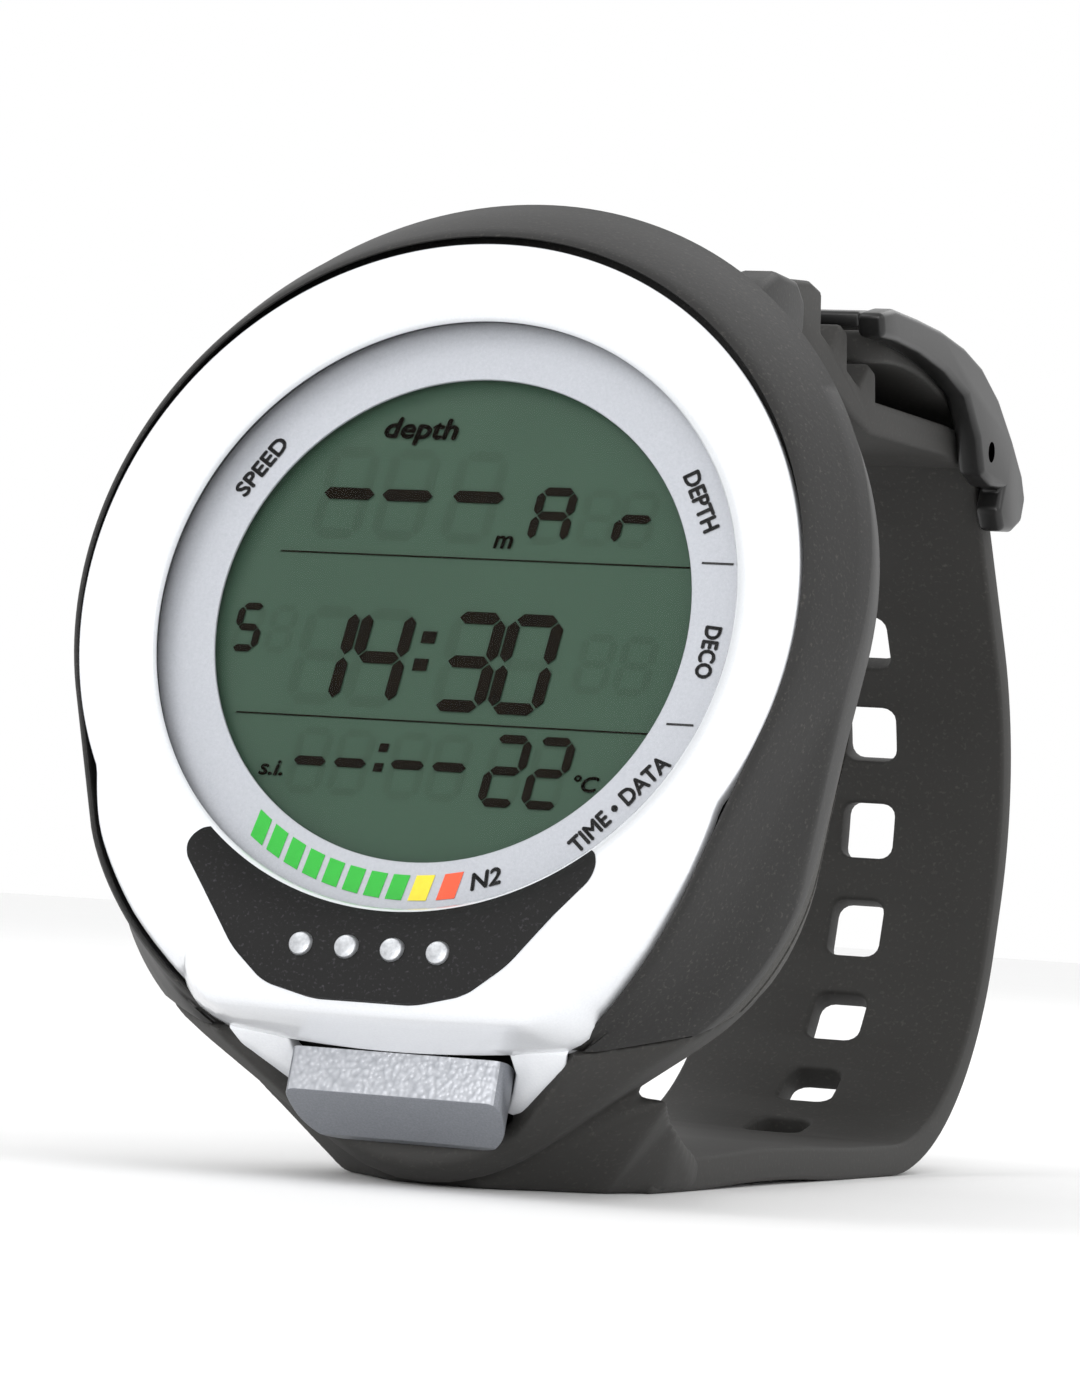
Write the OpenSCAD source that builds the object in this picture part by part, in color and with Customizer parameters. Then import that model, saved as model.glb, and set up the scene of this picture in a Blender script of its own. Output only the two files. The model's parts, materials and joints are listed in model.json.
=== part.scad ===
// Wrist dive computer: a round puck case on a closed rubber strap, standing on the strap.
// Each piece is drawn in the watch's own axes (X to 3 o'clock, Y to 12 o'clock, Z out of the
// face, zero at the centre of the display), and stand() leans the whole watch back on its strap.

/* [Display] */
// Radius of the display opening
display_r = 21; // [19:0.5:21.5]
// Radius of the inner lip of the white bezel
lip_r = 25.5; // [25:0.1:25.8]
// Thickness of the clear lens
lens_t = 1.2; // [0.8:0.1:1.3]

/* [Case] */
// Radius of the round part of the case where it is widest
case_r = 34.4; // [34:0.1:37]
// Depth of the case below the display
case_depth = 21.5; // [21:0.1:24]
// How far the widest part of the case reaches towards 6 o'clock
chin_reach = 44.4; // [43.5:0.1:44.6]

/* [Battery] */
// Diameter of the coin cell
cell_d = 24.5; // [20:0.1:24.5]
// Thickness of the coin cell
cell_t = 5; // [3.2:0.1:5]

/* [Button] */
// Width of the button cap
button_w = 19; // [14:0.5:19]
// Travel of the button
button_travel = 1; // [0.6:0.1:1.2]
// Radius of the button's rod
rod_r = 1.5; // [1.2:0.05:1.8]

/* [Strap] */
// Width of the strap
strap_w = 28; // [24:0.5:28]
// Thickness of the strap
strap_t = 3; // [2.6:0.1:3.2]
// Distance between strap holes
hole_pitch = 10.7; // [10:0.1:11.2]
// How far the watch leans back from upright
lean = 15; // [14:0.5:17]

/* [Fits] */
// Radial clearance of a turning or sliding fit
run_fit = 0.05; // [0.02:0.01:0.08]
// Gap beside the buckle's moving pieces
side_gap = 0.3; // [0.2:0.05:0.5]

/* [Hidden] */

// Floor: the strap rests on the plane y * cos(lean) + z * sin(lean) = -stand_drop.
stand_drop = 46.8;
// Brings the middle of the whole watch, front to back, over the origin.
stand_back = -50.4;

// Heights along Z, from the face backwards
rim_z = 4.2;
bezel_top = 4.5;
bezel_seat = 1;
plate_low = 1.95;
plate_proud = 0.1;
waist_z = -4;
wide_z = -9;
edge_z = -11;
split_z = -14.5;
back_z = -case_depth;
mask_t = 0.3;
dish_low = 2;
lens_r = lip_r + 0.9;
seat_r = lens_r + 0.05;
lip_under = lens_t + 0.3;

// Electronics stack
cavity_r = 23.4;
lcd_r = 22.2;
lcd_top = -1.3;
lcd_t = 1.6;
guide_t = 0.8;
board_top = -5.3;
board_t = 1;
board_under = board_top - board_t;
board_r = 23;

// Battery well, measured from the back face inwards
flange_r = 16.2;
flange_t = 1.6;
neck_r = 13.6;
plug_r = 13.05;
lug_top = back_z + 3.3;
lug_low = back_z + 2.2;
lug_r = 15;
neck_top = back_z + 3.4;
plug_top = back_z + 5.5;
contact_t = 0.4;
cell_low = plug_top + contact_t;
cell_high = cell_low + cell_t;
well_r = 12.4;
well_wall = 1.7;
well_roof = plug_top + contact_t + 5.4;
ring_t = 1.16;
gland_low = back_z + 3.9;
gland_top = gland_low + 1.3;
hub_r = 16.6;
screw_grip = 5;
sensor_boss_r = 3.4;
sensor_boss_t = 4.2;
filter_r = 2.3;
filter_t = 0.6;

// Screws, sensor and button
screws = [[12, 25], [-12, 25], [22, -17], [-22, -17]];
screw_r = 1.1;
screw_head_r = 2.1;
screw_head_t = 1.5;
sensor_at = [-19, 4.5];
contact_at = [[14.6, -10], [19.4, -10]];
contact_r = 0.9;
clip_over = 1.1;
lower_pin_l = 25;
sensor_r = 3;
port_r = 1.6;
seal_groove_r = 24.9;
rod_z = -8;
cap_back = -35.9;
cap_front = -41.9;
cap_low = -10.6;
nose_y = -34.8;
rod_end = -22.5;
spring_r = 2.9;
spring_seat = -31.5;
clip_y = -22.95;

// Seam between the case and the rubber end of the long strap
seam_y = -34.6;
seam_angle = 32.3;

// Long strap: outer surface as straights and arcs, [length, turn in degrees]
strap_start = -30;
function floor_y(z) = (-stand_drop - z * sin(lean)) / cos(lean);
strap_from = [floor_y(strap_start), strap_start];
strap_heading = lean - 90;
function arc(r, a) = [r * abs(a) * PI / 180, a];
strap_run = [[8, 0], [11, 2], [24, -4], [11, 2], [11.2, 0], arc(29, 75), [5, 0], arc(32, 48), [21.8, 0],
             arc(13.5, 42), [3, 0], arc(58, 20), [4, 0]];
strap_half = strap_w / 2;
strap_end_run = sum_of([for (s = strap_run) s[0]]);
hole_l = 6;
hole_w = 5.4;
hole_r = 1.2;
hole_last = 157.6;
hole_count = 9;
step_len = 2.5;

// Buckle, in Y and Z
pin_at = [45.8, -82];
pin_r = 1;
barrel_r = 1.65;
low_bar = [45.6, -92.9];
low_bar_r = 1.6;
arm_in = strap_half + side_gap;
arm_t = 2.6;
tongue_w = 2.4;
upper_pin_at = [35.6, -20.4];
lower_pin_at = [-36, -12.8];
lug_pin_r = 1.25;

// Lugs at 12 o'clock, each side of the short strap
strap_gap = strap_half + 0.2;
strap_slot_y = 33.6;
lug_w = 3.8;
lug_from = 31.5;

// ---- helpers ----

function sum_of(v, i = 0) = i >= len(v) ? 0 : v[i] + sum_of(v, i + 1);

// Point and heading after going a length along a straight (turn 0) or an arc
function go(p, h, l, a) = abs(a) < 0.001
    ? [p + l * [cos(h), sin(h)], h]
    : let (r = l * 180 / (PI * a)) [p + r * [sin(h + a) - sin(h), cos(h) - cos(h + a)], h + a];

// Point and heading at a distance along a run of straights and arcs
function along(s, run, p, h, i = 0) = i >= len(run) ? [p, h]
    : s <= run[i][0] ? go(p, h, s, run[i][1] * s / run[i][0])
    : let (q = go(p, h, run[i][0], run[i][1])) along(s - run[i][0], run, q[0], q[1], i + 1);

function on_strap(s, inside = 0) =
    let (q = along(s, strap_run, strap_from, strap_heading))
    [q[0] + inside * [-sin(q[1]), cos(q[1])], q[1]];

// Leans the watch back and sets its strap on the floor
module stand() {
    translate([0, stand_back, stand_drop])
        rotate([90 - lean, 0, 0])
            children();
}

// A profile in Y and Z, drawn w wide across X
module across(w) {
    rotate([90, 0, 90])
        linear_extrude(w, center = true)
            children();
}

// A rod along X at a point in Y and Z
module rod_x(at, r, w) {
    translate([0, at[0], at[1]])
        rotate([0, 90, 0])
            cylinder(r = r, h = w, center = true, $fn = 48);
}

// A rod along Y from one Y to another
module rod_y(r, from, to, z) {
    translate([0, to, z])
        rotate([90, 0, 0])
            cylinder(r = r, h = to - from, $fn = 64);
}

module disc(r, low, high) {
    translate([0, 0, low])
        cylinder(r = r, h = high - low, $fn = 96);
}

module ring(outer, inner, low, high) {
    difference() {
        disc(outer, low, high);
        disc(inner, low - 1, high + 1);
    }
}

module box(x, y, z) {
    translate([x[0], y[0], z[0]])
        cube([x[1] - x[0], y[1] - y[0], z[1] - z[0]]);
}

// One thin level of the case: a round body, two shoulders at [x, y, radius] and a chin
module level(z, r, shift, shoulder, chin, chin_r) {
    translate([0, 0, z])
        linear_extrude(0.01) {
            translate([0, shift])
                circle(r, $fn = 72);
            for (side = [-1, 1])
                translate([side * shoulder[0], shoulder[1]])
                    circle(shoulder[2], $fn = 48);
            translate([0, chin_r - chin])
                circle(chin_r, $fn = 32);
        }
}

module outer_shell() {
    hull() {
        level(rim_z, case_r - 2.2, 0.4, [2.5, -12.5, 25.9], 34.8, 16);
        level(0, case_r - 1, 2.4, [2.8, -12.5, 26.1], 35.4, 17);
        level(waist_z, case_r, 4, [3.2, -12.5, 26.3], 36.4, 18);
    }
    hull() {
        level(waist_z, case_r, 4, [3.2, -12.5, 26.3], 36.4, 18);
        level(wide_z, case_r - 0.8, 4, [7.4, -14, 23.9], chin_reach - 1.6, 15);
        level(edge_z, case_r - 1.8, 3.8, [7.8, -14, 23.2], chin_reach - 0.8, 15);
        level(split_z, case_r - 3.3, 3.5, [8, -14, 22], chin_reach, 15);
        level(back_z, case_r - 6.5, 3, [8, -14, 19.4], chin_reach - 4, 14);
    }
}

// Everything on the 12 o'clock side of the strap seam, moved out by gap
module seam_side(gap = 0) {
    translate([0, seam_y, waist_z])
        rotate([seam_angle, 0, 0])
            translate([-60, gap, -60])
                cube(120);
}

// The notch in the rubber for the chin of the case, its bezel prongs and the button
module notch(grow = 0) {
    front = [[-15.3 - grow, 9], [15.3 + grow, 9], [15.3 + grow, -4.2], [8.6 + grow, -10.9 - grow],
             [-8.6 - grow, -10.9 - grow], [-15.3 - grow, -4.2]];
    translate([0, -26, 0])
        rotate([90, 0, 0])
            linear_extrude(24)
                polygon(front);
}

module bezel_plan(grow = 0) {
    circle(31.5 + grow, $fn = 128);
    side = [[27.3, -15.75], [25.9, -21.2], [22.6, -27.4], [18.5, -31.8], [14.9, -34.4]];
    k = 1 + grow / 30;
    polygon(k * concat(side, [for (i = [4:-1:0]) [-side[i][0], side[i][1]]]));
}

module plate_plan(grow = 0) {
    side = [[16.6, -19.4], [17.8, -20.6], [17.9, -22.4], [14.8, -26.4], [12, -30.2], [8.8, -32.9],
            [4.4, -33.9]];
    k = 1 + grow / 25;
    difference() {
        polygon(k * concat(side, [for (i = [6:-1:0]) [-side[i][0], side[i][1]]]));
        circle(lip_r + 0.4 - grow, $fn = 96);
    }
}

module dish() {
    rotate_extrude($fn = 128)
        polygon([[0, dish_low], [lip_r, dish_low], [27.2, 3.5], [29.2, 4.3], [30.4, bezel_top], [30.4, 9],
                 [0, 9]]);
}

// A sector of a ring about the battery's axis
module sector(inner, outer, from, to, low, high) {
    rotate([0, 0, from])
        rotate_extrude(angle = to - from, $fn = 96)
            translate([inner, low])
                square([outer - inner, high - low]);
}

module torus(radius, section, z) {
    translate([0, 0, z])
        rotate_extrude($fn = 96)
            translate([radius, 0])
                circle(section / 2, $fn = 24);
}

// ---- case ----

module upper_lugs() {
    profile = [[29, -10], [34, -11], [37.4, -15.4], [38.6, -20.4], [37.6, -23], [35, -23.8], [31.6, -22],
               [lug_from, split_z]];
    for (side = [-1, 1])
        translate([side * (strap_gap + lug_w / 2), 0, 0])
            across(lug_w)
                polygon(profile);
}

module case_body() {
    color("#2c2b29")
        difference() {
            union() {
                intersection() {
                    outer_shell();
                    box([-60, 60], [-60, 60], [split_z, 9]);
                    union() {
                        seam_side();
                        intersection() {
                            notch();
                            box([-20, 20], [nose_y, -20], [-11, 9]);
                        }
                    }
                }
                upper_lugs();
                box([-8, 8], [-39.5, -28], [split_z, -11]);
            }
            translate([0, 0, bezel_seat])
                linear_extrude(9)
                    bezel_plan(0.05);
            intersection() {
                notch(0.02);
                box([-20, 20], [-60, nose_y], [-20, 9]);
            }
            disc(seat_r, -mask_t, 9);
            disc(cavity_r, split_z - 1, 9);
            rod_y(rod_r + run_fit, -40, -20, rod_z);
            rod_y(spring_r + 0.35, -40, spring_seat, rod_z);
            for (s = screws)
                translate([s[0], s[1], split_z - 1])
                    cylinder(r = screw_r, h = screw_grip + 1.5, $fn = 32);
            rod_x(upper_pin_at, lug_pin_r, 60);
            rod_x(lower_pin_at, lug_pin_r, lower_pin_l);
            box([-strap_gap, strap_gap], [strap_slot_y, 60], [-40, split_z + 1.6]);
        }
}

module bezel() {
    color("#f4f5f7")
        difference() {
            union() {
                translate([0, 0, bezel_seat])
                    linear_extrude(bezel_top - bezel_seat)
                        bezel_plan();
                apron();
            }
            dish();
            disc(seat_r, -20, lip_under);
            disc(lip_r, -20, 9);
            translate([0, 0, plate_low])
                linear_extrude(9)
                    plate_plan(0.05);
            rod_y(spring_r + 0.6, -60, -30, rod_z);
        }
}

// The wall below the bezel at 6 o'clock, with a prong on each side of the button
module apron() {
    prong = [[15.2, 3], [15.2, -4.2], [8.5, -10.8], [7.4, -10.8], [9.8, -6.9], [9.8, -4.2]];
    wall = concat(prong, [for (i = [5:-1:0]) [-prong[i][0], prong[i][1]]]);
    translate([0, nose_y, 0])
        rotate([90, 0, 0])
            linear_extrude(1)
                polygon(wall);
}

// The plate carries the bezel's dished shape on, and stands a little proud of it
module name_plate() {
    color("#1d1d1e")
        difference() {
            translate([0, 0, plate_low])
                linear_extrude(bezel_top + plate_proud - plate_low)
                    plate_plan();
            translate([0, 0, plate_proud])
                dish();
        }
    color("#b9bbbe")
        for (x = [-6, -2, 2, 6])
            translate([x, -29.6, plate_low + 1])
                cylinder(r = 1.1, h = bezel_top + plate_proud + 0.3 - plate_low - 1, $fn = 32);
}

module lens() {
    color("#dfe6e8", 0.4)
        disc(lens_r, 0, lens_t);
}

module lens_seal() {
    color("#303030")
        ring(lens_r, lip_r + 0.1, lens_t, lip_under);
}

module mask_ring() {
    color("#bfc1c6")
        ring(lens_r, display_r, -mask_t, 0);
}

// ---- electronics ----

module lcd_glass() {
    color("#55695c")
        intersection() {
            disc(lcd_r, lcd_top - lcd_t, lcd_top);
            box([-22, 22], [-21.9, 21.9], [-9, 0]);
        }
}

module light_guide() {
    color("#e8eee6")
        intersection() {
            disc(21.4, lcd_top - lcd_t - guide_t, lcd_top - lcd_t);
            box([-30, 30], [-18.4, 18.4], [-9, 0]);
        }
}

module lcd_frame() {
    color("#e9e9e4")
        difference() {
            disc(23.2, board_top, lcd_top + 0.7);
            disc(lcd_r + 0.05, lcd_top - lcd_t, 9);
            disc(21.5, -20, 9);
        }
}

module zebra_strips() {
    color("#c86a7a")
        for (side = [-1, 1])
            box([-6.5, 6.5], [side * 19.5 - 0.8, side * 19.5 + 0.8], [board_top, lcd_top - lcd_t]);
}

// The board has a notch that the end of the button's rod moves in
module circuit_board() {
    color("#1f5a38")
        difference() {
            disc(board_r, board_under, board_top);
            box([-3.2, 3.2], [-board_r - 1, clip_y + button_travel + 0.6], [board_under - 1, board_top + 1]);
        }
}

// Chips, crystal and coils under the board, each [x, y, width, length, height]
chip_list = [[9, 9, 7, 7, 1.2], [-3, 14, 5, 6, 1], [3, -13, 6, 2.2, 1.8], [14, -6, 4, 4, 1.8],
             [-8, 2, 6, 5, 1.1], [18, 4, 1.6, 3.2, 1.2], [-2, 6, 2, 1.2, 0.9], [2, 1, 2, 1.2, 0.9],
             [-16, -4, 1.6, 3.2, 1.2], [-9, -12, 2, 1.2, 0.9], [13, 15, 2, 1.2, 0.9]];

module board_chips() {
    color("#26272a")
        for (c = chip_list)
            translate([c[0] - c[2] / 2, c[1] - c[3] / 2, board_under - c[4]])
                cube([c[2], c[3], c[4]]);
}

module tact_switch() {
    actuator_y = rod_end + button_travel + 0.05;
    color("#35363a")
        box([-3, 3], [actuator_y + 0.8, actuator_y + 4.2], [rod_z - 1.6, board_under]);
    color("#d8c27a")
        rod_y(1, actuator_y, actuator_y + 0.8, rod_z);
}

module buzzer() {
    color("#26272a")
        translate([-15, -12, 0])
            difference() {
                disc(3.2, board_under - 2.3, board_under);
                disc(0.6, board_under - 3, board_under - 1.5);
            }
}

module pressure_sensor() {
    color("#c7c9cc")
        translate([sensor_at[0], sensor_at[1], 0]) {
            disc(sensor_r, split_z + 1, board_under);
            disc(port_r, back_z + 0.8, split_z + 1);
        }
}

module sensor_seal() {
    color("#222222")
        translate([sensor_at[0], sensor_at[1], 0])
            torus(port_r + 0.45, 0.9, back_z + 3.15);
}

module port_filter() {
    color("#8f9296")
        translate([sensor_at[0], sensor_at[1], 0])
            difference() {
                disc(filter_r, back_z, back_z + filter_t);
                for (a = [0:60:300])
                    rotate([0, 0, a])
                        translate([1.3, 0, back_z - 1])
                            cylinder(r = 0.35, h = 3, $fn = 16);
            }
}

// ---- button ----

module button_cap() {
    color("#b3b5ba")
        intersection() {
            across(button_w)
                polygon([[cap_back, -4.5], [-38.9, -4.4], [-39.6, -4.9], [cap_front, -9.4],
                         [cap_front + 0.4, cap_low + 0.2], [cap_back, cap_low]]);
            translate([0, -30, 0])
                rotate([90, 0, 0])
                    linear_extrude(20)
                        polygon([[-button_w / 2, -4], [button_w / 2, -4], [button_w / 2, -6.6],
                                 [button_w / 2 - 2.6, cap_low], [2.6 - button_w / 2, cap_low],
                                 [-button_w / 2, -6.6]]);
        }
}

module button_rod() {
    color("#d5d7da")
        difference() {
            rod_y(rod_r, cap_back, rod_end, rod_z);
            ring_y(rod_r + 1, rod_r - 0.5, -29, -27.8);
            ring_y(rod_r + 1, rod_r - 0.35, clip_y - 0.25, clip_y + 0.25);
        }
}

module ring_y(outer, inner, from, to) {
    difference() {
        rod_y(outer, from, to, rod_z);
        rod_y(inner, from - 1, to + 1, rod_z);
    }
}

module button_seal() {
    color("#222222")
        translate([0, -28.4, rod_z])
            rotate([90, 0, 0])
                rotate_extrude($fn = 64)
                    translate([rod_r - 0.24, 0])
                        circle(0.26, $fn = 24);
}

module button_clip() {
    color("#8b8d91")
        ring_y(rod_r + clip_over, rod_r - 0.35, clip_y - 0.2, clip_y + 0.2);
}

module button_spring() {
    color("#9c9ea2")
        ring_y(spring_r, rod_r + 0.3, cap_back + 0.02, spring_seat - 0.02);
}

// ---- back ----

module back_cover() {
    color("#2f2e2c")
        difference() {
            union() {
                difference() {
                    intersection() {
                        outer_shell();
                        box([-60, 60], [-60, 60], [back_z - 1, split_z]);
                        seam_side();
                    }
                    disc(cavity_r - 0.6, back_z + 3, split_z + 1);
                }
                disc(hub_r, back_z, split_z);
                disc(well_r + well_wall, split_z - 1, well_roof + 1);
                translate([sensor_at[0], sensor_at[1], 0])
                    disc(sensor_boss_r, back_z, back_z + sensor_boss_t);
            }
            disc(well_r, plug_top - 1, well_roof);
            disc(plug_r + run_fit, neck_top - 1, plug_top);
            disc(neck_r + run_fit, back_z, neck_top);
            disc(flange_r + run_fit, back_z - 1, back_z + flange_t);
            ring(lug_r + 0.1, neck_r, lug_low - 0.1, neck_top);
            for (a = [60, 240])
                sector(neck_r, lug_r + 0.1, a - 19, a + 19, back_z + 1, lug_top);
            translate([sensor_at[0], sensor_at[1], 0]) {
                disc(port_r + 0.05, back_z - 1, back_z + 9);
                disc(filter_r, back_z - 1, back_z + filter_t);
                disc(port_r + 0.9, back_z + 2.7, back_z + 9);
            }
            ring(seal_groove_r + 0.75, seal_groove_r - 0.75, split_z - 1.2, split_z + 1);
            for (s = screws)
                translate([s[0], s[1], 0]) {
                    disc(screw_r + 0.1, back_z - 1, split_z + 1);
                    disc(screw_head_r + 0.1, back_z - 1, back_z + screw_head_t);
                }
            for (c = contact_at)
                translate([c[0], c[1], 0])
                    disc(contact_r, back_z - 1, back_z + 9);
            box([-strap_gap, strap_gap], [strap_slot_y, 60], [-60, split_z + 1]);
            for (side = [-1, 1])
                translate([side * (strap_gap + lug_w / 2), 0, 0])
                    box([-lug_w / 2 - 0.1, lug_w / 2 + 0.1], [lug_from - 0.05, 60], [-60, split_z + 1]);
        }
}

module back_seal() {
    color("#222222")
        torus(seal_groove_r, 1.2, split_z - 0.6);
}

module back_screws() {
    color("#a9abae")
        for (s = screws)
            translate([s[0], s[1], 0])
                difference() {
                    union() {
                        disc(screw_r, back_z + 1, split_z + screw_grip);
                        disc(screw_head_r, back_z, back_z + screw_head_t);
                    }
                    translate([0, 0, back_z - 1])
                        cylinder(r = 0.9, h = 1.8, $fn = 6);
                }
}

module data_contacts() {
    color("#c8ccd0")
        for (c = contact_at)
            translate([c[0], c[1], 0])
                disc(contact_r, back_z, board_under);
}

module battery() {
    color("#c4c6c8") {
        disc(cell_d / 2, cell_low + 0.4, cell_high);
        disc(cell_d / 2 - 1.2, cell_low, cell_low + 0.4);
    }
}

module battery_plus() {
    color("#d9dbdd")
        intersection() {
            ring(9, 4, cell_high, well_roof);
            box([-20, 20], [-3, 3], [-30, 0]);
        }
}

module battery_minus() {
    color("#d9dbdd")
        ring(8, 5, plug_top, cell_low);
}

module battery_cover() {
    color("#262626")
        difference() {
            union() {
                disc(flange_r, back_z, back_z + flange_t);
                disc(neck_r, back_z, neck_top);
                disc(plug_r, back_z, plug_top);
                for (a = [0, 180])
                    sector(neck_r - 1, lug_r, a - 16, a + 16, lug_low, lug_top);
            }
            ring(plug_r + 1, plug_r - ring_t, gland_low, gland_top);
            box([-9, 9], [-1, 1], [back_z - 1, back_z + 1.6]);
        }
}

module battery_seal() {
    color("#222222")
        torus(plug_r - ring_t / 2 + 0.01, ring_t, (gland_low + gland_top) / 2);
}

// ---- straps ----

module strap_band() {
    steps = ceil(strap_end_run / step_len);
    outer = [for (i = [0:steps]) on_strap(strap_end_run * i / steps)[0]];
    inner = [for (i = [steps:-1:0]) on_strap(strap_end_run * i / steps, strap_t)[0]];
    across(strap_w)
        polygon(concat(outer, inner));
}

// One strap hole with rounded corners, cut square to the strap
module strap_hole(s) {
    q = on_strap(s);
    translate([0, q[0][0], q[0][1]])
        rotate([q[1] - 90, 0, 0])
            rotate([90, 0, 0])
                linear_extrude(strap_t * 4, center = true) {
                    square([hole_w - 2 * hole_r, hole_l], center = true);
                    square([hole_w, hole_l - 2 * hole_r], center = true);
                    for (x = [-1, 1], y = [-1, 1])
                        translate([x * (hole_w / 2 - hole_r), y * (hole_l / 2 - hole_r)])
                            circle(hole_r, $fn = 24);
                }
}

// Rubber that carries the case's shape on below the seam and narrows to the band
module strap_boot() {
    difference() {
        intersection() {
            outer_shell();
            box([-60, 60], [-60, 60], [back_z, 9]);
        }
        seam_side(-0.05);
        notch(0.05);
        box([-8, 8], [-39.5, -20], [split_z, 0]);
    }
    hull() {
        neck_slice(-17, 4, 19.5, 9);
        neck_slice(-25, 12, 17, 6.6);
    }
    hull() {
        neck_slice(-25, 12, 17, 6.6);
        neck_slice(-33, strap_half, 14.6, 3.4);
        neck_slice(-40, strap_half, strap_half, strap_t);
    }
}

// A thin cross-section of the neck: half widths at the floor and at the wrist side, and its height
module neck_slice(z, low_half, high_half, height) {
    y = floor_y(z);
    translate([0, 0, z])
        linear_extrude(0.1)
            polygon([[-low_half, y], [low_half, y], [high_half, y + height], [-high_half, y + height]]);
}

module long_strap() {
    color("#353432")
        difference() {
            union() {
                strap_boot();
                strap_band();
            }
            for (i = [0:hole_count - 1])
                strap_hole(hole_last - i * hole_pitch);
            rod_x(lower_pin_at, lug_pin_r, lower_pin_l);
        }
}

module short_strap() {
    profile = [[33.8, -17], [36, -14], [41.8, -28], [44, -34], [44.3, -37.2], [41, -38.6], [40.8, -42],
               [43.6, -43.2], [43.6, -45.4], [40.6, -46.8], [40.4, -50.6], [43.2, -52], [43.2, -54.4],
               [40.8, -55.6], [46.4, -76.5], [47.4, -81], [47.2, -82.6], [44.2, -82.6], [43.6, -77.4],
               [37.6, -56], [37.2, -50], [37.8, -38], [37, -31], [34.4, -26], [33.8, -23]];
    color("#383735")
        difference() {
            union() {
                across(strap_w)
                    polygon(profile);
                rod_x(pin_at, barrel_r, strap_w);
            }
            rod_x(pin_at, pin_r + run_fit, 60);
            rod_x(upper_pin_at, lug_pin_r, 60);
            box([-tongue_w / 2 - side_gap, tongue_w / 2 + side_gap], [40, 52], [-90, pin_at[1] + 2.6]);
        }
}

module lower_pin() {
    color("#c9cbce")
        rod_x(lower_pin_at, lug_pin_r, lower_pin_l);
}

module upper_pin() {
    color("#c9cbce")
        rod_x(upper_pin_at, lug_pin_r, 2 * (strap_gap + lug_w) - 0.4);
}

// ---- buckle ----

module buckle_arm() {
    outer = [[45.6, -45.6], [47.4, -49], [49.2, -56], [50.8, -63], [51.9, -70], [52.2, -76], [51.4, -82],
             [49.4, -88], [47.4, -92.6], [45.6, -94.6], [43, -94.4]];
    inner = [[41.2, -92], [40.2, -89], [41.6, -87], [44, -87.4], [43, -84], [43, -80.6], [45.6, -78],
             [48, -73], [47.8, -66], [46.6, -58], [45, -51], [43.8, -47]];
    across(arm_t)
        polygon(concat(outer, inner));
}

module buckle_frame() {
    color("#1f1f20")
        difference() {
            union() {
                for (side = [-1, 1])
                    translate([side * (arm_in + arm_t / 2), 0, 0])
                        buckle_arm();
                rod_x(low_bar, low_bar_r, 2 * arm_in + 1);
                across(2 * arm_in + 1)
                    polygon([[44.6, -46.4], [45.8, -45.8], [47.2, -49], [45.4, -49.6]]);
            }
            rod_x(pin_at, pin_r, 60);
        }
}

module buckle_pin() {
    color("#d6d8da")
        rod_x(pin_at, pin_r, 2 * (arm_in + arm_t));
}

module buckle_tongue() {
    color("#232324")
        difference() {
            union() {
                rod_x(pin_at, barrel_r - 0.05, tongue_w);
                across(tongue_w)
                    polygon([[44.6, -83.2], [46.8, -83.1], [47.3, -84.4], [48.4, -88], [48.3, -94.6],
                             [46.9, -95], [46.75, -91], [46.2, -86.5]]);
            }
            rod_x(pin_at, pin_r + run_fit, 20);
            rod_x(low_bar, low_bar_r + 0.05, 20);
        }
}

stand() case_body();
stand() bezel();
stand() name_plate();
stand() lens();
stand() lens_seal();
stand() mask_ring();
stand() lcd_glass();
stand() light_guide();
stand() lcd_frame();
stand() zebra_strips();
stand() circuit_board();
stand() board_chips();
stand() tact_switch();
stand() buzzer();
stand() pressure_sensor();
stand() sensor_seal();
stand() port_filter();
stand() button_cap();
stand() button_rod();
stand() button_seal();
stand() button_clip();
stand() button_spring();
stand() back_cover();
stand() back_seal();
stand() back_screws();
stand() data_contacts();
stand() battery();
stand() battery_plus();
stand() battery_minus();
stand() battery_cover();
stand() battery_seal();
stand() long_strap();
stand() short_strap();
stand() lower_pin();
stand() upper_pin();
stand() buckle_frame();
stand() buckle_pin();
stand() buckle_tongue();
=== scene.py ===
import json
import math

import bmesh
import bpy
from mathutils import Matrix, Vector


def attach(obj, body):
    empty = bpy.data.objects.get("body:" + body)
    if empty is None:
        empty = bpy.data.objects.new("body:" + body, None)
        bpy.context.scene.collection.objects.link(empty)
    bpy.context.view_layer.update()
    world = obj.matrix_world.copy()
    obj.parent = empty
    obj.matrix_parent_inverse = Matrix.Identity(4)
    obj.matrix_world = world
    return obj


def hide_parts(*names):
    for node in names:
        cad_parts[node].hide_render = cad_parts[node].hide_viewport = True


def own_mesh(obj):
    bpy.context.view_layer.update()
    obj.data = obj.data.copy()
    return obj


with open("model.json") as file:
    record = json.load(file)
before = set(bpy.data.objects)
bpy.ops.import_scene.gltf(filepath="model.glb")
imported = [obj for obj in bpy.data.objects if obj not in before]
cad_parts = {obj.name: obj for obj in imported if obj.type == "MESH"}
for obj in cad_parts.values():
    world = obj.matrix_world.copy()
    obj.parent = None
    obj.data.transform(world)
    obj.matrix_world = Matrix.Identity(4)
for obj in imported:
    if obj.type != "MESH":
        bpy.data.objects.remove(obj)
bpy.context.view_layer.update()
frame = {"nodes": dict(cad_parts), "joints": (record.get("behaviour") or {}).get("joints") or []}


# ---- studio ----
# A pale seamless floor under soft white light, with one long lens a little above the table.
# The watch leans back on its strap, so its own axes come from the joint of the battery cap:
# x to 3 o'clock, y to 12 o'clock and z out of the face, with zero on the display, in millimetres.

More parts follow.
